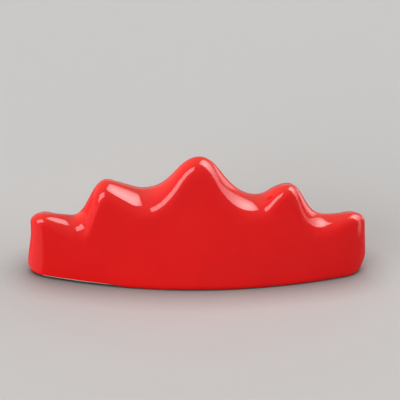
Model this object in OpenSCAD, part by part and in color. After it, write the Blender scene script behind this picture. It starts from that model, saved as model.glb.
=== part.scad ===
// Five-peak brush rest: a hollow cast porcelain body under a red glaze.
// Brush handles lie across the four notches between the crests.
// Millimetres, +Z up. The foot stands at z = 0, the length runs along X,
// and -Y is the front. The origin is under the middle of the whole length.

/* [Crest heights] */
// Height of the middle crest
middle_crest_h = 47; // [43:0.5:52]
// Height of the crest left of the middle
left_crest_h = 37.5; // [35.5:0.5:42]
// Height of the crest right of the middle
right_crest_h = 36.5; // [35:0.5:42]
// Height of the low crest at the left end
left_shoulder_h = 24.5; // [23.5:0.5:28]
// Height of the low crest at the right end
right_shoulder_h = 24.5; // [23.5:0.5:28]

/* [Notch heights] */
// Height of the notch left of the middle crest
left_notch_h = 33; // [29:0.5:35]
// Height of the notch right of the middle crest
right_notch_h = 31; // [28:0.5:34.5]
// Height of the notch beside the left shoulder
left_outer_notch_h = 23; // [20:0.5:23.5]
// Height of the notch beside the right shoulder
right_outer_notch_h = 23; // [20:0.5:23.5]

/* [Runs along the length] */
// From the middle crest to the left notch
left_notch_run = 19.5; // [17:0.5:24]
// From the left notch to the left crest
left_crest_run = 14; // [12:0.5:18]
// From the left crest to the left outer notch
left_outer_notch_run = 12.5; // [11:0.5:16]
// From the left outer notch to the left shoulder
left_shoulder_run = 10; // [8:0.5:14]
// From the middle crest to the right notch
right_notch_run = 18.5; // [17:0.5:24]
// From the right notch to the right crest
right_crest_run = 12.5; // [11:0.5:18]
// From the right crest to the right outer notch
right_outer_notch_run = 13.5; // [11:0.5:16]
// From the right outer notch to the right shoulder
right_shoulder_run = 9.5; // [8:0.5:14]
// Length of the rounded end beyond each shoulder
end_round = 7.5; // [6:0.5:10]

/* [Rounding of the crest line] */
// Half length of the rounding on the middle crest
middle_crest_round = 7; // [4:0.5:9]
// Half length of the rounding on the left crest
left_crest_round = 6; // [3:0.5:8]
// Half length of the rounding on the right crest
right_crest_round = 5; // [3:0.5:8]
// Half length of the rounding on the left shoulder
left_shoulder_round = 3.5; // [2:0.5:6]
// Half length of the rounding on the right shoulder
right_shoulder_round = 3; // [2:0.5:6]
// Half length of the hollow in the left notch
left_notch_round = 6.5; // [4:0.5:12]
// Half length of the hollow in the right notch
right_notch_round = 11; // [4:0.5:12]
// Half length of the hollow in the left outer notch
left_outer_notch_round = 6; // [4:0.5:10]
// Half length of the hollow in the right outer notch
right_outer_notch_round = 9; // [4:0.5:10]

/* [Depth and faces] */
// Depth of the foot at the middle, from front to back
middle_depth = 27.5; // [24:0.5:34]
// Depth that the foot would have at its very ends
end_depth = 7; // [6:0.5:9]
// Lean of the front and back faces at the middle, in degrees
middle_lean = 11.5; // [9:0.5:13]
// Lean of the front and back faces at the ends, in degrees
side_lean = 6.5; // [4:0.5:8]
// Lean of the two ends, in degrees
end_lean = 5.5; // [2:0.5:8]
// Extra set-back that curls each face in by the top of the middle crest
face_curl = 2; // [0:0.25:2.5]
// How far each end is tucked in at the foot
end_tuck = 2; // [0:0.25:3]
// Height of the tucked-in corner at each end
end_tuck_h = 5.5; // [4:0.5:8]
// Height of the round that runs from the faces over the top
top_round_h = 6; // [4:0.5:7]
// How far the top edge dips on the front face at the left, and rises at the right
top_twist = 0.9; // [0:0.1:1.5]
// Length over which the top edge twists once to and fro
twist_length = 110; // [90:1:125]
// Distance of the twist's middle from the middle of the length
twist_shift = 5; // [0:0.5:10]

/* [Wall, glaze and foot] */
// Wall of the hollow body under the glaze
wall = 3.5; // [2.5:0.25:4]
// Thickness of the floor over the foot
floor_wall = 3.5; // [2.5:0.25:5]
// Solid length at each end, where the cast walls meet
solid_end = 13; // [11:0.5:18]
// Least half depth of the hollow under its vault
hollow_half = 1.5; // [1:0.25:2]
// Height of the vault over the hollow
vault_h = 4; // [2:0.5:6]
// Thickness of the fired glaze
glaze = 0.45; // [0.3:0.05:0.8]
// Height of the bare band that the glaze stops above
bare_foot = 1.2; // [1:0.1:2.5]
// Rounding of the bare lower edge
foot_round = 0.8; // [0.3:0.1:1]
// Diameter of the pour and vent hole in the foot
vent_d = 8; // [6:0.5:10]

/* [Hidden] */
$fn = 64;

// Smoothness: steps along the length, round each end, up the walls and over the top
length_steps = 80;
end_steps = 10;
wall_levels = [0, 0.06, 0.14, 0.26, 0.46, 0.72, 1];
round_steps = 6;
foot_steps = 3;
hollow_length_steps = 36;
hollow_end_steps = 6;
hollow_wall_steps = 3;
hollow_round_steps = 3;
cut = 1;
quarter_turn = 90;
half_turn = 2 * quarter_turn;
full_turn = 2 * half_turn;

// Whole length and half of it, and the crest that everything is laid out from
left_run = left_notch_run + left_crest_run + left_outer_notch_run + left_shoulder_run;
right_run = right_notch_run + right_crest_run + right_outer_notch_run + right_shoulder_run;
half_length = (left_run + right_run) / 2 + end_round;
middle_x = (left_run - right_run) / 2;
left_end_x = middle_x - left_run;
right_end_x = middle_x + right_run;

// Crests and notches from left to right: place, height, half length of the rounding
line_marks = [
    [left_end_x, left_shoulder_h, left_shoulder_round],
    [left_end_x + left_shoulder_run, left_outer_notch_h, left_outer_notch_round],
    [middle_x - left_notch_run - left_crest_run, left_crest_h, left_crest_round],
    [middle_x - left_notch_run, left_notch_h, left_notch_round],
    [middle_x, middle_crest_h, middle_crest_round],
    [middle_x + right_notch_run, right_notch_h, right_notch_round],
    [middle_x + right_notch_run + right_crest_run, right_crest_h, right_crest_round],
    [right_end_x - right_shoulder_run, right_outer_notch_h, right_outer_notch_round],
    [right_end_x, right_shoulder_h, right_shoulder_round]
];

// The stretch between two marks that holds x
function stretch(x, i = 0) =
    i >= len(line_marks) - 2 || x <= line_marks[i + 1][0] ? i : stretch(x, i + 1);

// Height and slope of the crest line at x: a straight flank between a round
// on the crest and a hollow in the notch, each a parabola that meets it smoothly
function crest_line(x) =
    let (i = stretch(x),
         crest = i % 2 == 0 ? line_marks[i] : line_marks[i + 1],
         notch = i % 2 == 0 ? line_marks[i + 1] : line_marks[i],
         run = abs(crest[0] - notch[0]),
         fit = min(1, 0.98 * run / (crest[2] + notch[2])),
         a = crest[2] * fit,
         b = notch[2] * fit,
         pitch = (crest[1] - notch[1]) / (run - (a + b) / 2),
         d = abs(x - crest[0]),
         fall = d < a ? pitch * d * d / (2 * a)
              : d < run - b ? pitch * (d - a / 2)
              : crest[1] - notch[1] - pitch * (run - d) * (run - d) / (2 * b),
         slope = d < a ? pitch * d / a : d < run - b ? pitch : pitch * (run - d) / b)
    [crest[1] - fall, slope];

// Length of one unit of X measured along the crest line
function steepness(x) = norm([1, crest_line(x)[1]]);

// Share of the middle's fullness at x: 1 at the middle, 0 at the ends
function fullness(x) = 1 - pow(x / half_length, 2);

function face_lean(x) = tan(side_lean) + (tan(middle_lean) - tan(side_lean)) * fullness(x);
curl = face_curl / pow(middle_crest_h, 2);

// Half depth at the foot, and at height z
function foot_half(x) = end_depth / 2 + (middle_depth - end_depth) / 2 * fullness(x);
function half_depth(x, z) = foot_half(x) - face_lean(x) * z - curl * z * z;

// How far the rounded end reaches beyond the shoulder at height z
function end_reach(z) =
    let (u = max(0, 1 - z / end_tuck_h))
    end_round - tan(end_lean) * z - end_tuck * (1 - sqrt(1 - u * u));

// Rise of the top edge on the front face, and its dip on the back face
function twist(x) =
    let (t = (x - twist_shift) / twist_length)
    abs(t) > 0.5 ? 0 : top_twist * sin(full_turn * t);

// Columns once round the plan, from the front left corner: the place along the
// length, then the shares of the end's reach and of the half depth
function columns(x0, x1, steps, round) = concat(
    [for (i = [0:steps]) [x0 + (x1 - x0) * i / steps, 0, -1]],
    [for (k = [1:round - 1]) let (t = half_turn * k / round - quarter_turn) [x1, cos(t), sin(t)]],
    [for (i = [0:steps]) [x1 + (x0 - x1) * i / steps, 0, 1]],
    [for (k = [1:round - 1]) let (t = half_turn * k / round + quarter_turn) [x0, cos(t), sin(t)]]);

skin_columns = columns(left_end_x, right_end_x, length_steps, end_steps);
skin_spine = [for (i = [0:length_steps]) skin_columns[i][0]];

// Top of the wall under the round, the same for the glaze and the body
function round_foot(x) = crest_line(x)[0] - top_round_h * steepness(x);
function wall_top(c) = round_foot(c[0]) - twist(c[0]) * c[2];

// A point of the skin that lies d inside the glazed surface: on the wall at
// height z, or on the round over the top at angle t
function wall_point(c, z, d) =
    let (x = c[0] + c[1] * (end_reach(z) - d))
    [x, c[2] * (half_depth(x, z) - d), z];
function round_point(c, t, d) =
    let (w = wall_point(c, wall_top(c), d),
         rise = (top_round_h - d) * steepness(c[0]))
    [c[0] + (w[0] - c[0]) * cos(t),
     w[1] * cos(t),
     round_foot(c[0]) + rise * sin(t) - twist(c[0]) * c[2] * cos(t)];

// Rings of the skin from the glaze line up, and the line of points along the top
function skin_rings(d) = concat(
    [for (t = wall_levels) [for (c = skin_columns)
        wall_point(c, bare_foot + (wall_top(c) - bare_foot) * t, d)]],
    [for (k = [1:round_steps - 1]) [for (c = skin_columns)
        round_point(c, quarter_turn * k / round_steps, d)]]);
function skin_top(d) = [for (x = skin_spine)
    [x, 0, crest_line(x)[0] - d * steepness(x)]];

// Rings of the bare foot below the glaze line, rounded in at the lower edge
foot_rings = [for (k = [0:foot_steps]) [for (c = skin_columns)
    let (t = quarter_turn * k / foot_steps,
         z = foot_round * (1 - cos(t)))
    wall_point(c, z, glaze + foot_round * (1 - sin(t)))]];

// Triangles of a band between two rings of n points, of a top closed onto a
// line of points, and of a flat ring's own face
function band(low, high, n) = [for (j = [0:n - 1]) let (k = (j + 1) % n)
    each [[low + j, high + j, high + k], [low + j, high + k, low + k]]];
function closed_top(ring, line, steps, round) = concat(
    [for (i = [0:steps - 1]) each [
        [ring + i, line + i, line + i + 1], [ring + i, line + i + 1, ring + i + 1]]],
    [for (k = [0:round - 1]) [ring + steps + k, line + steps, ring + steps + k + 1]],
    [for (i = [0:steps - 1]) let (b = ring + steps + round + i, p = line + steps - i) each [
        [b, p, p - 1], [b, p - 1, b + 1]]],
    [for (k = [0:round - 1]) let (n = 2 * (steps + round), b = 2 * steps + round)
        [ring + b + k, line, ring + (b + k + 1) % n]]);
function turned(faces) = [for (f = faces) [f[2], f[1], f[0]]];
function shifted(faces, by) = [for (f = faces) [for (v = f) v + by]];

// Faces of a skin of rings that closes onto a line along the top
function skin_faces(rings, steps, round) =
    let (n = 2 * (steps + round))
    concat([for (r = [0:rings - 2]) each band(r * n, (r + 1) * n, n)],
           closed_top((rings - 1) * n, rings * n, steps, round));

function joined(rings) = [for (r = rings) each r];

// A closed solid: rings from a flat floor up, closed along the top
module domed_solid(rings, top, steps, round) {
    n = 2 * (steps + round);
    polyhedron(concat(joined(rings), top),
               concat([[for (j = [0:n - 1]) j]], skin_faces(len(rings), steps, round)),
               convexity = 6);
}

// The hollow, kept a wall's thickness inside the faces and under the crest line
hollow_left = -half_length + solid_end;
hollow_right = half_length - solid_end;
hollow_round = end_round;
hollow_columns = columns(hollow_left + hollow_round, hollow_right - hollow_round,
                         hollow_length_steps, hollow_end_steps);
skin = wall + glaze;

function hollow_depth(x, z) = max(half_depth(x, z) - skin, hollow_half / 2);

// Highest roof at x: under the crest line, and where the faces still leave room
function hollow_roof(x) =
    let (room = max(foot_half(x) - skin - hollow_half, 0),
         lean = face_lean(x),
         by_depth = 2 * room / (lean + sqrt(lean * lean + 4 * curl * room)),
         by_line = crest_line(x)[0] - skin * steepness(x))
    max(min(by_depth, by_line), floor_wall + 2);

function hollow_wall_top(x) = hollow_roof(x) - min(vault_h, (hollow_roof(x) - floor_wall) / 2);
function hollow_point(c, z, t) =
    [c[0] + c[1] * hollow_round * cos(t), c[2] * hollow_depth(c[0], z) * cos(t),
     z + (hollow_roof(c[0]) - hollow_wall_top(c[0])) * sin(t)];

module hollow() {
    rings = concat(
        [for (k = [0:hollow_wall_steps]) [for (c = hollow_columns)
            let (z = floor_wall + (hollow_wall_top(c[0]) - floor_wall) * k / hollow_wall_steps)
            hollow_point(c, z, 0)]],
        [for (k = [1:hollow_round_steps - 1]) [for (c = hollow_columns)
            hollow_point(c, hollow_wall_top(c[0]), quarter_turn * k / hollow_round_steps)]]);
    top = [for (i = [0:hollow_length_steps]) let (x = hollow_columns[i][0])
        [x, 0, hollow_roof(x)]];
    domed_solid(rings, top, hollow_length_steps, hollow_end_steps);
}

// The cast body: the skin less the glaze, hollow, with a round hole in its floor
module porcelain_body() {
    color([0.93, 0.90, 0.85])
    difference() {
        domed_solid(concat(foot_rings, skin_rings(glaze)), skin_top(glaze),
                    length_steps, end_steps);
        hollow();
        translate([0, 0, -cut]) cylinder(h = floor_wall + 2 * cut, d = vent_d);
    }
}

// The glaze: an even coat over the whole body down to the bare foot
module red_glaze() {
    outer = skin_rings(0);
    inner = skin_rings(glaze);
    steps = length_steps;
    round = end_steps;
    n = 2 * (steps + round);
    faces = skin_faces(len(outer), steps, round);
    count = len(outer) * n + steps + 1;
    color([0.80, 0.06, 0.05])
    polyhedron(concat(joined(outer), skin_top(0), joined(inner), skin_top(glaze)),
               concat(faces, shifted(turned(faces), count), band(count, 0, n)),
               convexity = 8);
}

porcelain_body();
red_glaze();
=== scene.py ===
"""A five-crest brush rest in red glazed porcelain, standing on a plain pale floor."""

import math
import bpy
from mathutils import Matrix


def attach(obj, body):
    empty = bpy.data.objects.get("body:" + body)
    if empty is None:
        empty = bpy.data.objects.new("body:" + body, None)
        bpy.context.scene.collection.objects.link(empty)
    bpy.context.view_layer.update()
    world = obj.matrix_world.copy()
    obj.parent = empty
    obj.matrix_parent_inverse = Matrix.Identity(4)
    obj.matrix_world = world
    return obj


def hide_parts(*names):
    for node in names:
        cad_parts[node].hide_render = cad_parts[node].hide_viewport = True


bl_info = {
    "name": "Brush rest",
    "version": (1, 0, 0),
    "blender": (4, 5, 0),
    "location": "3D View > Sidebar > Brush rest",
    "description": "Makes a five-crest porcelain brush rest and the plain stage it stands on",
    "category": "Add Mesh",
}

from typing import NamedTuple

import bmesh
import bpy
from bpy.props import FloatProperty, FloatVectorProperty, IntProperty, PointerProperty
from mathutils import Matrix, Vector

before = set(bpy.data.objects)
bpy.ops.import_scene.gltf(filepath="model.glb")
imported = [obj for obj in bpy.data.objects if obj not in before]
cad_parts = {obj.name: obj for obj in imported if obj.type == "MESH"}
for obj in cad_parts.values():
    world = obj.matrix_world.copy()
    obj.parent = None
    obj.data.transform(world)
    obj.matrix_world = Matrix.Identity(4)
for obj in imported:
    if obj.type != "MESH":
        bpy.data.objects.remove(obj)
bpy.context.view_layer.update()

MM = 0.001
DEGREE = math.pi / 180

# The nine marks along the crest line, from left to right: shoulder, outer notch, left crest,
# left notch, middle crest, right notch, right crest, outer notch, shoulder. Values in millimetres.
MARKS = 9
MIDDLE_CREST = 4
MARK_PLACES = (-55, -44.7, -32.75, -19.5, 0.1, 20.3, 31.6, 44.9, 55)
MARK_HEIGHTS = (25, 23.3, 38.1, 33.7, 47.6, 31.6, 37.4, 23.6, 25)
LEFT_ROUNDS = (3, 1.6, 4.9, 2.8, 7.7, 12.2, 7, 8.3, 4)
RIGHT_ROUNDS = (2.6, 5.1, 3, 10.4, 7.2, 4, 6, 8.6, 3)
ROUND_HEIGHTS = (3.6, 8.8, 5.8, 6.1, 7.3, 8.8, 5.4, 6.8, 3.8)
FRONT_RISES = (-0.1, 1.3, -0.7, -1.4, 0.4, 1.3, 1, 0.4, 0.3)
RIDGE_SHIFTS = (-1.1, 0.8, -0.3, 0.3, -0.1, 1, -1.9, 0.1, -1)

# The crest line: the most of a flank that its two curves may take, and the number of samples on
# each side of a point over which it is softened.
MOST_CURVED = 0.98
SOFTENING_TAPS = 6

# The wall: the share of the top rounding's height over which its slope goes on inside the rounding,
# and how sharply the right end draws in at the foot.
WALL_GIVE = 0.12
TUCK_SHARPNESS = 1.5

# The glaze's lower edge: how far it wavers slowly and quickly, as angles round the foot and lengths
# along the rest, how far it bulges, as an angle, where its rings lie between its middle and either
# side, and how sharply its bare stretch ends along the rest and round the left end.
SLOW_WAVER = 0.05
SLOW_WAVER_RUN = 4.1 * MM
QUICK_WAVER = 0.04
QUICK_WAVER_RUN = 2.3 * MM
EDGE_BEAD = 0.16
PARTS_OF_EDGE = (0.35, 0.7)
BARE_SHARPNESS = 4
FRONT_SHARPNESS = 3

# The most of the thin glaze's colour that shows, on the crest line itself.
THIN_SHARE = 0.8

# The cavity: its length as a share of the rest's, how much further its ends reach, how far its roof
# lies under the start of the top rounding, its least height and half depth, and how far its rings
# climb ahead of an even spacing. The vent: the width of its eased rim.
CAVITY_LENGTH = 0.9
CAVITY_END = 2 * MM
ROOF_DROP = 1 * MM
LEAST_CAVITY_HEIGHT = 2 * MM
LEAST_CAVITY_DEPTH = 0.6 * MM
CAVITY_SWELL = 0.2
VENT_EASE = 0.3 * MM

# The meshes: the radius of the ring that a shell starts as, how closely rings crowd towards the foot,
# below which distances points are merged and edges dissolved, and from which angle an edge is sharp.
START_RADIUS = 50 * MM
CROWDING = 1.4
MERGE_DISTANCE = 0.01 * MM
LEAST_EDGE = 0.005 * MM
CREASE_ANGLE = 35 * DEGREE

# The numbers of a Mix node's colour sockets, which share their names with others.
MIX_FIRST = 6
MIX_SECOND = 7
MIX_RESULT = 2

# How much of the porcelain's red, green and blue is left in a stain.
STAIN_TINT = (0.86, 0.80, 0.70)

# The floor: its radius and the width of its outer ring, the distances between which its painted far
# shade and its painted glow change, the most of the far painted shade that shows, and the openness of
# a corner that gets the full painted contact shade.
FLOOR_RADIUS = 4
FLOOR_BORDER = 3
FAR_FLOOR = (0.25, 1.4)
FAR_FLOOR_SHARE = 0.55
FAR_SHINE = (0.06, 1.2)
FULL_SHADE_OPENNESS = 0.3

# The room: how its brightness grows along x, y and z, the range of that sum, the brightness at the
# range's two ends, and its colour.
ROOM_SLOPE = (-0.12, 0.28, 0.34)
ROOM_RANGE = (-0.42, 0.48)
ROOM_LEVELS = (0.2, 1.1)
ROOM_COLOUR = (1, 0.995, 0.99, 1)

# The windows: azimuth, elevation and roll in degrees, and where each soft edge starts and ends on a
# pane that is 1 away from the rest. The left, lower right and upper right edges of the right-hand
# window slant: across is measured with that much of above added. The core is its brightest part.
# A pane shows nothing in directions that run nearly along it, with a cosine below the grazing one.
PANE_GRAZE = 0.05
RIGHT_WINDOW_PLACE = (64, 44, 0)
RIGHT_WINDOW_EDGES = {
    "left": (-0.34, -0.28),
    "lower right": (1.08, 1.2),
    "upper right": (0.9, 1.25),
    "right": (0.8, 1.1),
    "top": (0.66, 0.74),
    "bottom": (-0.95, -0.6),
}
LEFT_SLANT = 0.39
LOWER_SLANT = -0.8
UPPER_SLANT = 0.9
CORE_SIZE = (0.55, 0.5)
CORE_HEIGHT = 0.18
LEFT_WINDOW_PLACE = (-46, 26, 35)
LEFT_WINDOW_EDGES = {
    "left": (-0.5, -0.42),
    "right": (0.37, 0.43),
    "bottom": (-0.2, -0.15),
    "top": (0.16, 0.21),
}


class Streak(NamedTuple):
    """A low streak of light that one end of the rest mirrors, painted as a glow on the floor and
    perhaps in the room above it.

    The level names its brightness in the stage. It fans out from the start along the rest towards
    the azimuth, with a half width and a fade in degrees, from the nearest distance on. The top holds
    its half width and height on a pane above the floor.
    """

    level: str
    start: float
    azimuth: float
    width: float
    fade: float
    nearest: float
    top: tuple = ()


END_PLACE = 55 * MM
STREAKS = (
    Streak("right_streak", END_PLACE, azimuth=72, width=7, fade=5, nearest=33 * MM, top=(0.12, 0.07)),
    Streak("back_streak", END_PLACE, azimuth=120, width=13, fade=5, nearest=0.1, top=(0.23, 0.17)),
    Streak("left_haze", -END_PLACE, azimuth=-68, width=26, fade=13, nearest=6 * MM),
)

# At how many times its nearest distance a streak is full, and the soft edges of its top.
STREAK_START = 1.3
STREAK_SIDE_FADE = 0.09
STREAK_TOP_FADE = 0.1

# The lamps' watts for a radiance of 1 from 1 square metre, the height that lamps and camera look at,
# the width of the camera's sensor in millimetres, the width of the picture in pixels, and how far
# the picture is shifted, in those pixels.
LAMP_WATTS = 4
AIM_HEIGHT = 20 * MM
SENSOR_WIDTH = 36
PICTURE_WIDTH = 400
PICTURE_SHIFT = (2, 23.5)


def millimetres(values):
    return tuple(value * MM for value in values)


class BrushRestForm(bpy.types.PropertyGroup):
    """Sizes of the rest's outer form"""

    places: FloatVectorProperty(
        name="Mark places",
        description="Where the shoulders, notches and crests stand along the rest, left to right",
        size=MARKS,
        default=millimetres(MARK_PLACES),
        unit="LENGTH",
    )
    heights: FloatVectorProperty(
        name="Mark heights",
        description="Height of the crest line at each mark",
        size=MARKS,
        default=millimetres(MARK_HEIGHTS),
        unit="LENGTH",
    )
    left_rounds: FloatVectorProperty(
        name="Left rounds",
        description="How far the crest line curves on the left of each mark",
        size=MARKS,
        default=millimetres(LEFT_ROUNDS),
        unit="LENGTH",
    )
    right_rounds: FloatVectorProperty(
        name="Right rounds",
        description="How far the crest line curves on the right of each mark",
        size=MARKS,
        default=millimetres(RIGHT_ROUNDS),
        unit="LENGTH",
    )
    round_heights: FloatVectorProperty(
        name="Top round heights",
        description="How far down the faces the soft rounding of the top edge reaches at each mark",
        size=MARKS,
        default=millimetres(ROUND_HEIGHTS),
        unit="LENGTH",
    )
    front_rises: FloatVectorProperty(
        name="Front rises",
        description="How much higher the rounding starts on the front than on the back at each mark",
        size=MARKS,
        default=millimetres(FRONT_RISES),
        unit="LENGTH",
    )
    ridge_shifts: FloatVectorProperty(
        name="Ridge shifts",
        description="How far behind the middle plane the ridge runs at each mark",
        size=MARKS,
        default=millimetres(RIDGE_SHIFTS),
        unit="LENGTH",
    )
    middle_depth: FloatProperty(
        name="Middle depth",
        description="Depth of the foot at the middle",
        default=27.8 * MM,
        unit="LENGTH",
    )
    end_depth: FloatProperty(
        name="End depth",
        description="Depth of the foot where its outline runs out at the ends",
        default=6.3 * MM,
        unit="LENGTH",
    )
    half_length: FloatProperty(
        name="Half length",
        description="Half of the length over which the foot's outline tapers",
        default=62.5 * MM,
        unit="LENGTH",
    )
    middle_lean: FloatProperty(
        name="Middle lean",
        description="How far the faces lean in at the middle",
        default=11 * DEGREE,
        subtype="ANGLE",
    )
    side_lean: FloatProperty(
        name="Side lean",
        description="How far the faces lean in near the ends",
        default=1 * DEGREE,
        subtype="ANGLE",
    )
    end_lean: FloatProperty(
        name="End lean",
        description="How far the two ends lean in",
        default=6 * DEGREE,
        subtype="ANGLE",
    )
    face_curl: FloatProperty(
        name="Face curl",
        description="How much more the faces come in at the height of the middle crest",
        default=0.8 * MM,
        unit="LENGTH",
    )
    end_round: FloatProperty(
        name="End round",
        description="How far the rounded ends reach past the shoulders at the foot",
        default=7.2 * MM,
        unit="LENGTH",
    )
    end_tuck: FloatProperty(
        name="End tuck",
        description="How far the ends draw in at the foot",
        default=2.4 * MM,
        unit="LENGTH",
    )
    left_tuck_height: FloatProperty(
        name="Left tuck height",
        description="Height over which the left end draws in",
        default=4.4 * MM,
        unit="LENGTH",
    )
    right_tuck_height: FloatProperty(
        name="Right tuck height",
        description="Height over which the right end draws in",
        default=7.5 * MM,
        unit="LENGTH",
    )
    left_waist: FloatProperty(
        name="Left waist",
        description="How far the left end is dented at half its height",
        default=0.5 * MM,
        unit="LENGTH",
    )
    left_waist_height: FloatProperty(
        name="Left waist height",
        description="Height of the dent in the left end",
        default=15.5 * MM,
        unit="LENGTH",
    )
    left_waist_reach: FloatProperty(
        name="Left waist reach",
        description="How far up and down the dent in the left end reaches",
        default=6 * MM,
        unit="LENGTH",
    )
    front_fullness: FloatProperty(
        name="Front fullness",
        description="Fullness of the rounding on the front, where 2 is a plain ellipse",
        default=1.82,
    )
    back_fullness: FloatProperty(
        name="Back fullness",
        description="Fullness of the rounding on the back, where 2 is a plain ellipse",
        default=1.56,
    )
    softening: FloatProperty(
        name="Softening",
        description="Distance over which the crest line is smoothed",
        default=1.5 * MM,
        unit="LENGTH",
    )
    steps: IntProperty(
        name="Steps along",
        description="Number of steps along the rest between the shoulders",
        default=200,
    )
    end_steps: IntProperty(
        name="Steps round an end",
        description="Number of steps round each end",
        default=24,
    )


class BrushRestGlaze(bpy.types.PropertyGroup):
    """The red glaze"""

    thickness: FloatProperty(
        name="Thickness",
        description="Thickness of the fired glaze",
        default=0.45 * MM,
        unit="LENGTH",
    )
    edge_angle: FloatProperty(
        name="Edge place",
        description="How far the glaze runs down round the foot's rounding",
        default=42 * DEGREE,
        subtype="ANGLE",
    )
    bare_angle: FloatProperty(
        name="Bare stretch angle",
        description="How much sooner the glaze stops along the bare stretch of the front's lower edge",
        default=0.7,
        subtype="ANGLE",
    )
    bare_place: FloatProperty(
        name="Bare stretch place",
        description="Where the middle of the bare stretch lies along the rest",
        default=-45 * MM,
        unit="LENGTH",
    )
    bare_reach: FloatProperty(
        name="Bare stretch reach",
        description="Half of the length of the bare stretch",
        default=17 * MM,
        unit="LENGTH",
    )
    thin_drop: FloatProperty(
        name="Thin drop",
        description="How far below the crest line the glaze has run thin",
        default=2.2 * MM,
        unit="LENGTH",
    )
    colour: FloatVectorProperty(
        name="Colour",
        description="Red of the glaze where it is full",
        size=3,
        default=(0.76, 0.003, 0.003),
        subtype="COLOR",
    )
    deep_colour: FloatVectorProperty(
        name="Deep colour",
        description="Red of the glaze where it has pooled",
        size=3,
        default=(0.725, 0.0025, 0.003),
        subtype="COLOR",
    )
    thin_colour: FloatVectorProperty(
        name="Thin colour",
        description="Red of the glaze where it has run thin over a crest",
        size=3,
        default=(0.80, 0.02, 0.005),
        subtype="COLOR",
    )
    pinhole_colour: FloatVectorProperty(
        name="Pinhole colour",
        description="Dark red of the pinholes",
        size=3,
        default=(0.3, 0.004, 0.004),
        subtype="COLOR",
    )


class BrushRestPorcelain(bpy.types.PropertyGroup):
    """The porcelain under the glaze"""

    foot_round: FloatProperty(
        name="Foot round",
        description="Radius of the rounding round the foot",
        default=1.7 * MM,
        unit="LENGTH",
    )
    vent_diameter: FloatProperty(
        name="Vent diameter",
        description="Diameter of the hole in the foot",
        default=8 * MM,
        unit="LENGTH",
    )
    wall: FloatProperty(
        name="Wall",
        description="Thickness of the cast wall",
        default=3.5 * MM,
        unit="LENGTH",
    )
    colour: FloatVectorProperty(
        name="Colour",
        description="Colour of the bare porcelain",
        size=3,
        default=(0.80, 0.75, 0.66),
        subtype="COLOR",
    )
    speck_colour: FloatVectorProperty(
        name="Speck colour",
        description="Colour of the specks in the bare porcelain",
        size=3,
        default=(0.34, 0.29, 0.23),
        subtype="COLOR",
    )


class BrushRestStage(bpy.types.PropertyGroup):
    """Floor, lamps, windows and camera"""

    floor_colour: FloatVectorProperty(
        name="Floor colour",
        description="Colour of the plain floor",
        size=3,
        default=(0.24, 0.237, 0.232),
        subtype="COLOR",
    )
    seen_floor_colour: FloatVectorProperty(
        name="Seen floor colour",
        description="Colour of the floor as the camera sees it",
        size=3,
        default=(0.545, 0.536, 0.526),
        subtype="COLOR",
    )
    # Painted shade: the floor darkens towards this colour far from the rest, as if the light fell off
    # there.
    far_floor_shade: FloatVectorProperty(
        name="Far floor colour",
        description="Colour to which the floor changes far from the rest",
        size=3,
        default=(0.2, 0.198, 0.195),
        subtype="COLOR",
    )
    # Painted shade: the colour that the floor is darkened to right next to the foot.
    painted_contact_shade: FloatVectorProperty(
        name="Contact shade colour",
        description="Colour of the floor where the foot shades it most",
        size=3,
        default=(0.07, 0.062, 0.06),
        subtype="COLOR",
    )
    fill_radiance: FloatProperty(
        name="Fill brightness",
        description="Brightness of the large soft lamp that lights the left of the front",
        default=3.3,
    )
    right_fill_radiance: FloatProperty(
        name="Right fill brightness",
        description="Brightness of the low soft lamp that lights the right end",
        default=2.4,
    )
    lamp_distance: FloatProperty(
        name="Lamp distance",
        description="Distance of the lamps from the rest",
        default=6,
        unit="LENGTH",
    )
    window_core: FloatProperty(
        name="Window middle",
        description="Brightness of the middle of the right-hand window as the glaze mirrors it",
        default=11,
    )
    window_edge: FloatProperty(
        name="Window edge",
        description="Brightness of the outer part of the right-hand window",
        default=2.5,
    )
    side_window: FloatProperty(
        name="Side window",
        description="Brightness of the left-hand window as the glaze mirrors it",
        default=5.6,
    )
    window_share: FloatProperty(
        name="Window light",
        description="Share of the windows' brightness that lights matt surfaces",
        default=0.03,
    )
    room_share: FloatProperty(
        name="Room light",
        description="Share of the room's brightness that lights matt surfaces",
        default=0.6,
    )
    # Painted light: the streaks glow on the floor for mirrored rays only; the right and back ones also
    # brighten the room above it.
    right_streak: FloatProperty(
        name="Right streak",
        description="Brightness of the low streak on the right as the glaze mirrors it",
        default=1.2,
    )
    back_streak: FloatProperty(
        name="Back streak",
        description="Brightness of the low streak behind on the right as the glaze mirrors it",
        default=2.0,
    )
    left_haze: FloatProperty(
        name="Left haze",
        description="Brightness of the floor on the left as the glaze of the left end mirrors it",
        default=0.38,
    )
    # Painted light: the far floor glows this much for mirrored rays only.
    far_shine: FloatProperty(
        name="Far shine",
        description="Brightness of the far floor as the glaze mirrors it",
        default=0.37,
    )
    contact_reach: FloatProperty(
        name="Contact shade reach",
        description="How far from the foot the floor is shaded",
        default=14 * MM,
        unit="LENGTH",
    )
    camera_elevation: FloatProperty(
        name="Camera elevation",
        description="Angle at which the camera looks down",
        default=33 * DEGREE,
        subtype="ANGLE",
    )
    camera_turn: FloatProperty(
        name="Camera turn",
        description="How far the rest is turned to the camera",
        default=2 * DEGREE,
        subtype="ANGLE",
    )
    camera_roll: FloatProperty(
        name="Camera roll",
        description="How far the camera is rolled",
        default=0.92 * DEGREE,
        subtype="ANGLE",
    )
    camera_distance: FloatProperty(
        name="Camera distance",
        description="Distance of the camera from the middle of the rest",
        default=0.42,
        unit="LENGTH",
    )
    camera_lens: FloatProperty(
        name="Camera lens",
        description="Focal length in millimetres",
        default=105.4,
    )


def mark_before(form, x):
    """Number of the mark that starts the stretch of the crest line in which x lies."""
    i = 0
    while i < MARKS - 2 and x > form.places[i + 1]:
        i += 1
    return i


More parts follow.
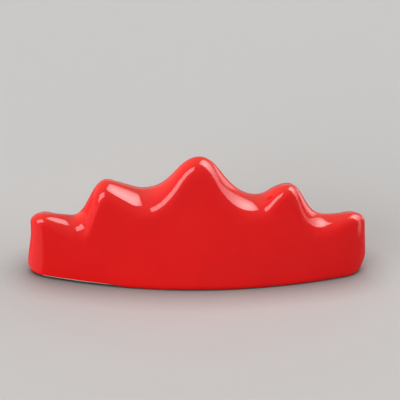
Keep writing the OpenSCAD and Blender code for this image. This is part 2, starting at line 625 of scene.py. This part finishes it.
def crest_line(form, x):
    """Height and slope of the crest line at x, as straight flanks with a curve at each mark."""
    places, heights = form.places, form.heights
    x = min(max(x, places[0]), places[MARKS - 1])
    i = mark_before(form, x)
    if i % 2 == 0:
        crest, notch = i, i + 1
        crest_round, notch_round = form.right_rounds[crest], form.left_rounds[notch]
    else:
        crest, notch = i + 1, i
        crest_round, notch_round = form.left_rounds[crest], form.right_rounds[notch]
    run = abs(places[crest] - places[notch])
    fit = min(1.0, MOST_CURVED * run / (crest_round + notch_round))
    crest_round *= fit
    notch_round *= fit
    drop = heights[crest] - heights[notch]
    pitch = drop / (run - (crest_round + notch_round) / 2)
    away = abs(x - places[crest])
    if away < crest_round:
        return heights[crest] - pitch * away * away / (2 * crest_round), pitch * away / crest_round
    if away < run - notch_round:
        return heights[crest] - pitch * (away - crest_round / 2), pitch
    left = run - away
    return heights[notch] + pitch * left * left / (2 * notch_round), pitch * left / notch_round


def soft_crest(form, x):
    """Height of the crest line and its length per step of x, averaged over the softening distance."""
    height = steep = total = 0.0
    reach = SOFTENING_TAPS + 0.5
    for k in range(-SOFTENING_TAPS, SOFTENING_TAPS + 1):
        weight = 1 + math.cos(math.pi * k / reach)
        z, slope = crest_line(form, x + form.softening * k / reach)
        height += weight * z
        steep += weight * slope
        total += weight
    return height / total, math.sqrt(1 + (steep / total) ** 2)


def eased(form, values, x):
    """A value given at each mark, eased between the marks."""
    i = mark_before(form, x)
    left, right = form.places[i], form.places[i + 1]
    t = min(max((x - left) / (right - left), 0.0), 1.0)
    t = t * t * (3 - 2 * t)
    return values[i] * (1 - t) + values[i + 1] * t


def half_depth(form, x, z):
    """Half of the depth at x and height z."""
    full = 1 - (x / form.half_length) ** 2
    side = math.tan(form.side_lean)
    lean = side + (math.tan(form.middle_lean) - side) * full
    curl = form.face_curl * (z / form.heights[MIDDLE_CREST]) ** 2
    return form.end_depth / 2 + (form.middle_depth - form.end_depth) / 2 * full - lean * z - curl


def end_reach(form, z, side):
    """How far an end reaches past its shoulder at height z, with side below 0 for the left end."""
    reach = form.end_round - math.tan(form.end_lean) * z
    if side > 0:
        low = min(max(1 - z / form.right_tuck_height, 0.0), 1.0)
        return reach - form.end_tuck * low**TUCK_SHARPNESS
    low = min(max(1 - z / form.left_tuck_height, 0.0), 1.0)
    waist = form.left_waist * math.exp(-(((z - form.left_waist_height) / form.left_waist_reach) ** 2))
    return reach - form.end_tuck * (1 - math.sqrt(1 - low * low)) - waist


class Column:
    """One line up the outside of the rest, from the foot to the ridge."""

    def __init__(self, form, x, across, along):
        self.form, self.x, self.across, self.along = form, x, across, along
        self.crest, self.steep = soft_crest(form, x)
        self.round_height = eased(form, form.round_heights, x)
        self.rise = eased(form, form.front_rises, x)
        self.ridge = eased(form, form.ridge_shifts, x)
        share = (along + 1) / 2
        self.fullness = form.front_fullness * (1 - share) + form.back_fullness * share
        self.round_foot = self.crest - self.round_height * self.steep
        self.wall_top = self.round_foot - self.rise * along

    def wall(self, z, inset=0.0):
        """A point of the wall at height z, moved in by inset."""
        x = self.x + self.across * (end_reach(self.form, z, self.across) - inset)
        return Vector((x, self.along * (half_depth(self.form, x, z) - inset), z))

    def rounding(self, share, inset=0.0):
        """A point of the top rounding, from the wall at 0 to the ridge at 1."""
        if share >= 1:
            out, up = 0.0, 1.0
        else:
            out = math.cos(share * math.pi / 2) ** (2 / self.fullness)
            up = math.sin(share * math.pi / 2) ** (2 / self.fullness)
        height = (self.round_height - inset) * self.steep
        z = self.round_foot + height * up - self.rise * self.along * out
        give = WALL_GIVE * height
        lift = give * (1 - math.exp((self.wall_top - z) / give))
        side = self.wall(self.wall_top + lift, inset)
        x = self.x + (side.x - self.x) * out
        return Vector((x, side.y * out + self.ridge * up * (1 - out), z))

    def foot(self, centre, radius, angle):
        """A point on the rounding round the foot, at an angle below level round its centre.

        The centre is given as how far it lies inside the wall and its height.
        """
        inset, height = centre
        return self.wall(max(height - radius * math.sin(angle), 0.0), inset - radius * math.cos(angle))


def columns(form):
    """The lines up the outside, once round: front, right end, back, left end."""
    left, right = form.places[0], form.places[MARKS - 1]
    span = [left + (right - left) * i / form.steps for i in range(form.steps + 1)]
    angles = [math.pi * k / form.end_steps for k in range(1, form.end_steps)]
    found = [Column(form, x, 0.0, -1.0) for x in span]
    found += [Column(form, right, math.sin(angle), -math.cos(angle)) for angle in angles]
    found += [Column(form, x, 0.0, 1.0) for x in reversed(span)]
    found += [Column(form, left, -math.sin(angle), math.cos(angle)) for angle in angles]
    return found


def shares(count, power=1.0):
    """Shares from 0 to 1 in count steps, closer together near 0 where the power is above 1."""
    return [(k / count) ** power for k in range(count + 1)]


def wall_ring(base, share, inset):
    """A ring round the wall, from height base at 0 to the start of the top rounding at 1."""
    return lambda line: line.wall(base + (line.wall_top - base) * share, inset)


def rounding_ring(share, inset):
    """A ring round the top rounding, from the wall at 0 to the ridge at 1."""
    return lambda line: line.rounding(share, inset)


def deselect():
    """Leave edit mode and select nothing."""
    if bpy.context.object and bpy.context.object.mode != "OBJECT":
        bpy.ops.object.mode_set(mode="OBJECT")
    bpy.ops.object.select_all(action="DESELECT")


def shell(name, lines, first, outward, inward):
    """A closed shell that starts as a ring and is extruded both ways, one ring at a time."""
    deselect()
    bpy.ops.mesh.primitive_circle_add(
        vertices=len(lines), radius=START_RADIUS, fill_type="NOTHING", location=(0, 0, 0)
    )
    piece = bpy.context.object
    piece.name = name
    piece.data.name = name
    number = piece.data.attributes.new("line", "INT", "POINT")
    for i, item in enumerate(number.data):
        item.value = i
    for vertex in piece.data.vertices:
        vertex.co = first(lines[vertex.index])
    bpy.ops.object.mode_set(mode="EDIT")
    for rings in (outward, inward):
        bpy.ops.mesh.select_all(action="DESELECT")
        mesh = bmesh.from_edit_mesh(piece.data)
        mesh.verts.ensure_lookup_table()
        for i in range(len(lines)):
            mesh.verts[i].select = True
        mesh.select_flush(True)
        bmesh.update_edit_mesh(piece.data)
        for ring in rings:
            bpy.ops.mesh.extrude_region_move()
            mesh = bmesh.from_edit_mesh(piece.data)
            layer = mesh.verts.layers.int["line"]
            for vertex in mesh.verts:
                if vertex.select:
                    vertex.co = ring(lines[vertex[layer]])
            bmesh.update_edit_mesh(piece.data)
    bpy.ops.mesh.select_all(action="SELECT")
    bpy.ops.mesh.remove_doubles(threshold=MERGE_DISTANCE)
    bpy.ops.mesh.dissolve_degenerate(threshold=LEAST_EDGE)
    bpy.ops.mesh.normals_make_consistent(inside=False)
    bpy.ops.object.mode_set(mode="OBJECT")
    bpy.ops.object.shade_smooth()
    if open_edges(piece):
        raise RuntimeError(f"{name} has {open_edges(piece)} open edges")
    return piece


def open_edges(piece):
    """Number of edges that don't join exactly two faces."""
    mesh = bmesh.new()
    mesh.from_mesh(piece.data)
    count = sum(1 for edge in mesh.edges if len(edge.link_faces) != 2)
    mesh.free()
    return count


def opaque(colour):
    """A colour with full alpha. The output of a node stays as it is."""
    return colour if isinstance(colour, bpy.types.NodeSocket) else (*colour, 1.0)


class Tree:
    """The node tree of a material or of the world, with the kinds of node that are used here."""

    def __init__(self, owner):
        owner.use_nodes = True
        self.nodes, self.links = owner.node_tree.nodes, owner.node_tree.links

    def fill(self, node, inputs):
        """Give each named input of a node its value, or its link where the value is an output."""
        for key, value in inputs.items():
            if isinstance(value, bpy.types.NodeSocket):
                self.links.new(value, node.inputs[key])
            else:
                node.inputs[key].default_value = value
        return node

    def add(self, kind, inputs=(), **settings):
        """A new node of that kind, with its inputs and its settings."""
        node = self.nodes.new("ShaderNode" + kind)
        for name, value in settings.items():
            setattr(node, name, value)
        return self.fill(node, dict(inputs))

    def coordinates(self, kind):
        return self.add("TexCoord").outputs[kind]

    def noise(self, place, scale, detail, roughness=0.5):
        inputs = {"Vector": place, "Scale": scale, "Detail": detail, "Roughness": roughness}
        return self.add("TexNoise", inputs).outputs["Fac"]

    def ramp(self, source, low, high, start, end, smooth=False):
        """The source's range from low to high, stretched to the range from start to end."""
        inputs = {"Value": source, "From Min": low, "From Max": high, "To Min": start, "To Max": end}
        kind = "SMOOTHSTEP" if smooth else "LINEAR"
        return self.add("MapRange", inputs, interpolation_type=kind).outputs["Result"]

    def rise(self, source, low, high):
        """A soft step from 0 below low to 1 above high."""
        return self.ramp(source, low, high, 0, 1, smooth=True)

    def fall(self, source, low, high):
        """A soft step from 1 below low to 0 above high."""
        return self.ramp(source, low, high, 1, 0, smooth=True)

    def maths(self, operation, first, second=0.0):
        return self.add("Math", {0: first, 1: second}, operation=operation).outputs[0]

    def total(self, first, *others):
        for other in others:
            first = self.maths("ADD", first, other)
        return first

    def product(self, first, *others):
        for other in others:
            first = self.maths("MULTIPLY", first, other)
        return first

    def vector(self, operation, first, second=(0, 0, 0)):
        return self.add("VectorMath", {0: first, 1: tuple(second)}, operation=operation)

    def dot(self, source, direction):
        return self.vector("DOT_PRODUCT", source, direction).outputs["Value"]

    def length(self, source):
        return self.vector("LENGTH", source).outputs["Value"]

    def mixed(self, factor, first, second):
        """The first colour where the factor is 0 and the second where it is 1."""
        inputs = {"Factor": factor, MIX_FIRST: opaque(first), MIX_SECOND: opaque(second)}
        return self.add("Mix", inputs, data_type="RGBA").outputs[MIX_RESULT]

    def bump(self, height, strength, distance, below=None, invert=False):
        """A bumped normal, on top of the one below where that is given."""
        inputs = {"Height": height, "Strength": strength, "Distance": distance}
        if below is not None:
            inputs["Normal"] = below
        return self.add("Bump", inputs, invert=invert).outputs["Normal"]


def sky_axes(azimuth, elevation, roll=0):
    """Right, up and outward directions of something at that place in the sky, in degrees.

    Azimuth 0 is on the camera's side and 90 on the right.
    """
    a, e, o = azimuth * DEGREE, elevation * DEGREE, roll * DEGREE
    outward = Vector((math.sin(a) * math.cos(e), -math.cos(a) * math.cos(e), math.sin(e)))
    level = Vector((math.cos(a), math.sin(a), 0))
    upright = outward.cross(level)
    right = level * math.cos(o) + upright * math.sin(o)
    up = upright * math.cos(o) - level * math.sin(o)
    return right, up, outward


def flat_place(tree, towards, azimuth, elevation, roll=0):
    """Where a direction meets a pane at that place in the sky: across, above, and if it does at all."""
    right, up, outward = sky_axes(azimuth, elevation, roll)
    ahead = tree.dot(towards, outward)
    safe = tree.maths("MAXIMUM", ahead, PANE_GRAZE)
    across = tree.maths("DIVIDE", tree.dot(towards, right), safe)
    above = tree.maths("DIVIDE", tree.dot(towards, up), safe)
    return across, above, tree.ramp(ahead, PANE_GRAZE, 2 * PANE_GRAZE, 0, 1)


def new_material(name):
    """A new material, its node tree and its surface shader."""
    material = bpy.data.materials.new(name)
    tree = Tree(material)
    return material, tree, tree.nodes["Principled BSDF"]


def glaze_material(glaze):
    """Gloss glaze: deeper where it pools, thinner over the crests, faintly wavy, with pinholes."""
    material, tree, shader = new_material("red_glaze")
    place = tree.coordinates("Object")
    thin = tree.add("Attribute", attribute_name="thin").outputs["Fac"]
    pool = tree.rise(tree.noise(place, scale=55, detail=3), low=0.38, high=0.66)
    colour = tree.mixed(pool, glaze.colour, glaze.deep_colour)
    colour = tree.mixed(thin, colour, glaze.thin_colour)
    cells = tree.add("TexVoronoi", {"Vector": place, "Scale": 95}).outputs["Distance"]
    pinhole = tree.fall(cells, low=0.010, high=0.022)
    colour = tree.mixed(pinhole, colour, glaze.pinhole_colour)
    fine = tree.noise(place, scale=420, detail=2)
    wave = tree.noise(place, scale=90, detail=1.5)
    normal = tree.bump(wave, strength=0.35, distance=0.12 * MM)
    normal = tree.bump(pinhole, strength=0.5, distance=0.1 * MM, below=normal, invert=True)
    looks = {
        "IOR": 1.46,
        "Base Color": colour,
        "Roughness": tree.ramp(fine, low=0.3, high=0.7, start=0.022, end=0.04),
        "Normal": normal,
    }
    tree.fill(shader, looks)
    return material


def porcelain_material(porcelain):
    """Bare fired porcelain: matt, warm, with a fine grain and faint stains."""
    material, tree, shader = new_material("bare_porcelain")
    place = tree.coordinates("Object")
    stained = [part * tint for part, tint in zip(porcelain.colour, STAIN_TINT)]
    stain = tree.rise(tree.noise(place, scale=60, detail=4), low=0.42, high=0.72)
    colour = tree.mixed(stain, porcelain.colour, stained)
    speck = tree.noise(place, scale=2600, detail=2, roughness=0.7)
    dots = tree.ramp(speck, low=0.66, high=0.74, start=0, end=0.6, smooth=True)
    grain = tree.noise(place, scale=1500, detail=4, roughness=0.6)
    looks = {
        "Base Color": tree.mixed(dots, colour, porcelain.speck_colour),
        "Roughness": tree.ramp(grain, low=0.3, high=0.7, start=0.62, end=0.82),
        "Normal": tree.bump(grain, strength=0.4, distance=0.08 * MM),
    }
    tree.fill(shader, looks)
    return material


def streak_on_floor(tree, place, streak):
    """A wedge of the floor that fans out from one end of the rest and glows, painted light for the
    glaze to mirror.
    """
    offset = tree.vector("SUBTRACT", place, (streak.start, 0, 0)).outputs["Vector"]
    level, _, outward = sky_axes(streak.azimuth, 0)
    aside = tree.maths("ABSOLUTE", tree.dot(offset, level))
    turn = tree.maths("ARCTAN2", aside, tree.dot(offset, outward))
    inside = tree.fall(turn, streak.width * DEGREE, (streak.width + streak.fade) * DEGREE)
    beyond = tree.rise(tree.length(offset), streak.nearest, streak.nearest * STREAK_START)
    return tree.product(inside, beyond)


def streak_on_room(tree, towards, streak):
    """The upper end of a low streak, above the floor's horizon."""
    across, above, facing = flat_place(tree, towards, streak.azimuth, 0)
    width, height = streak.top
    inside = tree.fall(tree.maths("ABSOLUTE", across), width, width + STREAK_SIDE_FADE)
    return tree.product(inside, tree.fall(above, height, height + STREAK_TOP_FADE), facing)


def floor_material(stage):
    """A plain pale floor with painted shade by the foot and far off, and painted glows for the glaze.
    """
    material, tree, shader = new_material("plain_floor")
    place = tree.coordinates("Object")
    ray = tree.add("LightPath").outputs
    away = tree.length(place)
    colour = tree.mixed(ray["Is Camera Ray"], stage.floor_colour, stage.seen_floor_colour)
    # Painted shade: the floor is darker far from the rest.
    far = tree.ramp(away, *FAR_FLOOR, 0.0, FAR_FLOOR_SHARE, smooth=True)
    colour = tree.mixed(far, colour, stage.far_floor_shade)
    # Painted shade: the floor's colour darkens towards the contact shade where ambient occlusion finds
    # the foot near.
    contact = tree.add("AmbientOcclusion", {"Distance": stage.contact_reach}, samples=8).outputs["AO"]
    open_share = tree.ramp(contact, FULL_SHADE_OPENNESS, 1.0, 0.0, 1.0)
    # Painted light: the floor glows in the streaks and far off, for mirrored rays only, though it is no
    # lamp.
    shine = [
        tree.product(streak_on_floor(tree, place, streak), getattr(stage, streak.level))
        for streak in STREAKS
    ]
    outward = tree.vector("NORMALIZE", place).outputs["Vector"]
    horizon = tree.total(tree.dot(outward, (*ROOM_SLOPE[:2], 0)), stage.far_shine)
    shine.append(tree.product(horizon, tree.rise(away, *FAR_SHINE)))
    looks = {
        "Base Color": tree.mixed(open_share, stage.painted_contact_shade, colour),
        "Roughness": 0.85,
        "Specular IOR Level": 0.2,
        "Emission Color": (1, 1, 1, 1),
        "Emission Strength": tree.product(tree.total(*shine), ray["Is Glossy Ray"]),
    }
    tree.fill(shader, looks)
    return material


def right_window(tree, towards, stage):
    """The large window on the right: brightest near its middle, with soft edges, three slanting."""
    across, above, facing = flat_place(tree, towards, *RIGHT_WINDOW_PLACE)

    def slanting(slant):
        return tree.total(across, tree.product(above, slant))

    edges = RIGHT_WINDOW_EDGES
    inside = tree.product(
        tree.rise(slanting(LEFT_SLANT), *edges["left"]),
        tree.fall(slanting(LOWER_SLANT), *edges["lower right"]),
        tree.fall(slanting(UPPER_SLANT), *edges["upper right"]),
        tree.fall(across, *edges["right"]),
        tree.fall(above, *edges["top"]),
        tree.rise(above, *edges["bottom"]),
        facing,
    )
    width, height = CORE_SIZE
    x = tree.maths("DIVIDE", across, width)
    y = tree.maths("DIVIDE", tree.maths("SUBTRACT", above, CORE_HEIGHT), height)
    away = tree.total(tree.product(x, x), tree.product(y, y))
    core = tree.maths("EXPONENT", tree.product(away, -1))
    return tree.product(inside, tree.ramp(core, 0, 1, stage.window_edge, stage.window_core))


def left_window(tree, towards, stage):
    """The slanting window on the left."""
    across, above, facing = flat_place(tree, towards, *LEFT_WINDOW_PLACE)
    edges = LEFT_WINDOW_EDGES
    return tree.product(
        tree.rise(across, *edges["left"]),
        tree.fall(across, *edges["right"]),
        tree.rise(above, *edges["bottom"]),
        tree.fall(above, *edges["top"]),
        facing,
        stage.side_window,
    )


class OBJECT_OT_brush_rest_glaze(bpy.types.Operator):
    """Make the red glaze that covers the rest"""

    bl_idname = "object.brush_rest_glaze"
    bl_label = "Red glaze"

    def execute(self, context):
        scene = context.scene
        form, glaze = scene.brush_rest_form, scene.brush_rest_glaze
        thick, curve = glaze.thickness, scene.brush_rest_porcelain.foot_round
        centre = (thick + curve, curve)

        def edge(line):
            """Angle to which the glaze runs down, less on the left of the front."""
            slow = SLOW_WAVER * math.sin(line.x / SLOW_WAVER_RUN)
            quick = QUICK_WAVER * math.sin(line.x / QUICK_WAVER_RUN + line.along)
            front = max(0.0, -line.along) ** FRONT_SHARPNESS
            bare = math.exp(-(((line.x - glaze.bare_place) / glaze.bare_reach) ** BARE_SHARPNESS))
            return glaze.edge_angle + slow + quick - glaze.bare_angle * front * bare

        def rolled(share):
            """A ring of the rolled edge, from the inner side at -1 to the outer one at 1."""
            radius = curve + thick / 2 + thick / 2 * math.sin(share * math.pi / 2)
            bead = EDGE_BEAD * math.cos(share * math.pi / 2)
            return lambda line: line.foot(centre, radius, edge(line) + bead)

        def arc(radius, share):
            """A ring round the foot's rounding, from the rolled edge at 0 to the wall at 1."""
            return lambda line: line.foot(centre, radius, edge(line) * (1 - share))

        def face(side, inset, wall_rings, round_rings):
            """The rings of the outer side at 1 or the inner one at -1, from the edge to the ridge."""
            found = [rolled(side * share) for share in (*PARTS_OF_EDGE, 1)]
            found += [arc(curve + thick - inset, share) for share in PARTS_OF_EDGE]
            found += [wall_ring(curve, share, inset) for share in shares(wall_rings, CROWDING)]
            found += [rounding_ring(share, inset) for share in shares(round_rings)[1:]]
            return found

        outward = face(1, 0.0, wall_rings=16, round_rings=22)
        inward = face(-1, thick, wall_rings=8, round_rings=8)
        piece = shell("glaze_coat", columns(form), rolled(0), outward, inward)
        thin = piece.data.attributes.new("thin", "FLOAT", "POINT")
        for vertex, item in zip(piece.data.vertices, thin.data):
            drop = soft_crest(form, vertex.co.x)[0] - vertex.co.z
            item.value = max(0.0, 1 - drop / glaze.thin_drop) * THIN_SHARE
        piece.data.materials.append(glaze_material(glaze))
        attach(piece, "root")
        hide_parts("red_glaze")
        return {"FINISHED"}


class OBJECT_OT_brush_rest_porcelain(bpy.types.Operator):
    """Make the hollow porcelain body with its bare foot and vent hole"""

    bl_idname = "object.brush_rest_porcelain"
    bl_label = "Porcelain body"

    def execute(self, context):
        scene = context.scene
        form, porcelain = scene.brush_rest_form, scene.brush_rest_porcelain
        thick, curve = scene.brush_rest_glaze.thickness, porcelain.foot_round
        wall_thick, vent = porcelain.wall, porcelain.vent_diameter / 2
        rings, foot_rings = 10, 4

        def hole(radius, z):
            """A round ring at height z, with each point on the side of its line."""

            def place(line):
                foot = line.wall(0.0)
                angle = math.atan2(foot.y, foot.x)
                return Vector((radius * math.cos(angle), radius * math.sin(angle), z))

            return place

        def midway(first, second):
            return lambda line: first(line).lerp(second(line), 0.5)

        def foot(angle):
            return lambda line: line.foot((thick + curve, curve), curve, angle)

        def cavity(share):
            """A ring of the cavity's side: straight up to half height, then closing to the roof."""

            def place(line):
                x = line.x * CAVITY_LENGTH
                roof = max(line.round_foot - ROOF_DROP, wall_thick + LEAST_CAVITY_HEIGHT)
                climb = share + CAVITY_SWELL * math.sin(math.pi * share)
                z = wall_thick + (roof - wall_thick) * climb
                out = math.cos(max(2 * share - 1, 0.0) * math.pi / 2)
                deep = max(half_depth(form, x, z) - (wall_thick + thick), LEAST_CAVITY_DEPTH) * out
                return Vector((x + line.across * CAVITY_END * out, line.along * deep, min(z, roof)))

            return place

        foot_edge = foot(math.pi / 2)
        rim = hole(vent + VENT_EASE, 0.0)
        outward = [rim, midway(rim, foot_edge), foot_edge]
        outward += [foot(math.pi / 2 * (1 - share)) for share in shares(foot_rings)[1:-1]]
        outward += [wall_ring(curve, share, thick) for share in shares(rings, CROWDING)]
        outward += [rounding_ring(share, thick) for share in shares(rings)[1:]]
        neck = hole(vent, wall_thick)
        inward = [neck, midway(neck, cavity(0))]
        inward += [cavity(share) for share in shares(rings)]
        piece = shell("porcelain_core", columns(form), hole(vent, VENT_EASE), outward, inward)
        bpy.ops.object.shade_smooth_by_angle(angle=CREASE_ANGLE)
        piece.data.materials.append(porcelain_material(porcelain))
        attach(piece, "root")
        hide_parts("porcelain_body")
        return {"FINISHED"}


def aim(thing, azimuth, elevation, roll, distance):
    """Put a lamp or camera at that place in the sky, looking at the middle of the rest."""
    right, up, outward = sky_axes(azimuth, elevation, roll)
    turn = Matrix((right, up, outward)).transposed().to_4x4()
    thing.matrix_world = Matrix.Translation(outward * distance + Vector((0, 0, AIM_HEIGHT))) @ turn


def soft_lamp(name, radiance, distance, azimuth, elevation, half_width, half_height):
    """An area lamp that lights the rest but isn't mirrored in it, with its size seen from the rest."""
    deselect()
    bpy.ops.object.light_add(type="AREA")
    lamp = bpy.context.object
    lamp.name = name
    lamp.data.shape = "RECTANGLE"
    lamp.data.size = 2 * half_width * distance
    lamp.data.size_y = 2 * half_height * distance
    lamp.data.energy = radiance * LAMP_WATTS * lamp.data.size * lamp.data.size_y
    lamp.visible_glossy = False
    aim(lamp, azimuth, elevation, 0, distance)


class OBJECT_OT_brush_rest_stage(bpy.types.Operator):
    """Make the floor, the lamps, the world and the camera"""

    bl_idname = "object.brush_rest_stage"
    bl_label = "Stage"

    def execute(self, context):
        scene = context.scene
        stage = scene.brush_rest_stage
        self.floor(stage)
        self.lamps(stage)
        self.world(scene, stage)
        self.camera(scene, stage)
        scene.view_settings.view_transform = "Standard"
        return {"FINISHED"}

    def floor(self, stage):
        deselect()
        bpy.ops.mesh.primitive_circle_add(
            vertices=96, radius=FLOOR_RADIUS, fill_type="NGON", location=(0, 0, 0)
        )
        floor = bpy.context.object
        floor.name = "floor"
        bpy.ops.object.mode_set(mode="EDIT")
        bpy.ops.mesh.select_all(action="SELECT")
        bpy.ops.mesh.inset(thickness=FLOOR_BORDER, depth=0)
        bpy.ops.object.mode_set(mode="OBJECT")
        floor.data.materials.append(floor_material(stage))

    def lamps(self, stage):
        far = stage.lamp_distance
        left = {"azimuth": -62, "elevation": 18, "half_width": 0.8, "half_height": 0.3}
        right = {"azimuth": 92, "elevation": 20, "half_width": 0.5, "half_height": 0.4}
        soft_lamp("left_fill", stage.fill_radiance, far, **left)
        soft_lamp("right_fill", stage.right_fill_radiance, far, **right)

    def world(self, scene, stage):
        """A room that grows brighter upwards and behind, with windows that the glaze mirrors."""
        world = bpy.data.worlds.new("studio")
        scene.world = world
        tree = Tree(world)
        towards = tree.coordinates("Generated")
        mirrored = tree.add("LightPath").outputs["Is Glossy Ray"]
        lights = [right_window(tree, towards, stage), left_window(tree, towards, stage)]
        for streak in STREAKS:
            if streak.top:
                glow = streak_on_room(tree, towards, streak)
                lights.append(tree.product(glow, getattr(stage, streak.level)))
        lights = tree.product(tree.total(*lights), tree.ramp(mirrored, 0, 1, stage.window_share, 1))
        room = tree.ramp(tree.dot(towards, ROOM_SLOPE), *ROOM_RANGE, *ROOM_LEVELS)
        room = tree.product(room, tree.ramp(mirrored, 0, 1, stage.room_share, 1))
        looks = {"Color": ROOM_COLOUR, "Strength": tree.total(room, lights)}
        tree.fill(tree.nodes["Background"], looks)

    def camera(self, scene, stage):
        bpy.ops.object.camera_add()
        camera = bpy.context.object
        camera.name = "camera"
        scene.camera = camera
        angles = (-stage.camera_turn, stage.camera_elevation, stage.camera_roll)
        aim(camera, *map(math.degrees, angles), stage.camera_distance)
        camera.data.sensor_width = SENSOR_WIDTH
        camera.data.lens = stage.camera_lens
        camera.data.shift_x = PICTURE_SHIFT[0] / PICTURE_WIDTH
        camera.data.shift_y = PICTURE_SHIFT[1] / PICTURE_WIDTH
        camera.data.clip_start = 10 * MM


class VIEW3D_PT_brush_rest(bpy.types.Panel):
    """Brush rest tools"""

    bl_label = "Brush rest"
    bl_space_type = "VIEW_3D"
    bl_region_type = "UI"
    bl_category = "Brush rest"

    def draw(self, context):
        layout = self.layout
        scene = context.scene
        for group in (scene.brush_rest_form, scene.brush_rest_glaze, scene.brush_rest_porcelain):
            box = layout.box()
            for name in group.__annotations__:
                box.prop(group, name)
        for maker in MAKERS:
            layout.operator(maker.bl_idname)
        box = layout.box()
        for name in scene.brush_rest_stage.__annotations__:
            box.prop(scene.brush_rest_stage, name)


GROUPS = {
    "brush_rest_form": BrushRestForm,
    "brush_rest_glaze": BrushRestGlaze,
    "brush_rest_porcelain": BrushRestPorcelain,
    "brush_rest_stage": BrushRestStage,
}
MAKERS = (OBJECT_OT_brush_rest_glaze, OBJECT_OT_brush_rest_porcelain, OBJECT_OT_brush_rest_stage)


def register():
    for name, group in GROUPS.items():
        bpy.utils.register_class(group)
        setattr(bpy.types.Scene, name, PointerProperty(type=group))
    for maker in MAKERS:
        bpy.utils.register_class(maker)
    bpy.utils.register_class(VIEW3D_PT_brush_rest)


def unregister():
    bpy.utils.unregister_class(VIEW3D_PT_brush_rest)
    for maker in reversed(MAKERS):
        bpy.utils.unregister_class(maker)
    for name, group in reversed(list(GROUPS.items())):
        delattr(bpy.types.Scene, name)
        bpy.utils.unregister_class(group)


def main():
    register()
    bpy.ops.object.brush_rest_glaze()
    bpy.ops.object.brush_rest_porcelain()
    bpy.ops.object.brush_rest_stage()


if __name__ == "__main__":
    main()
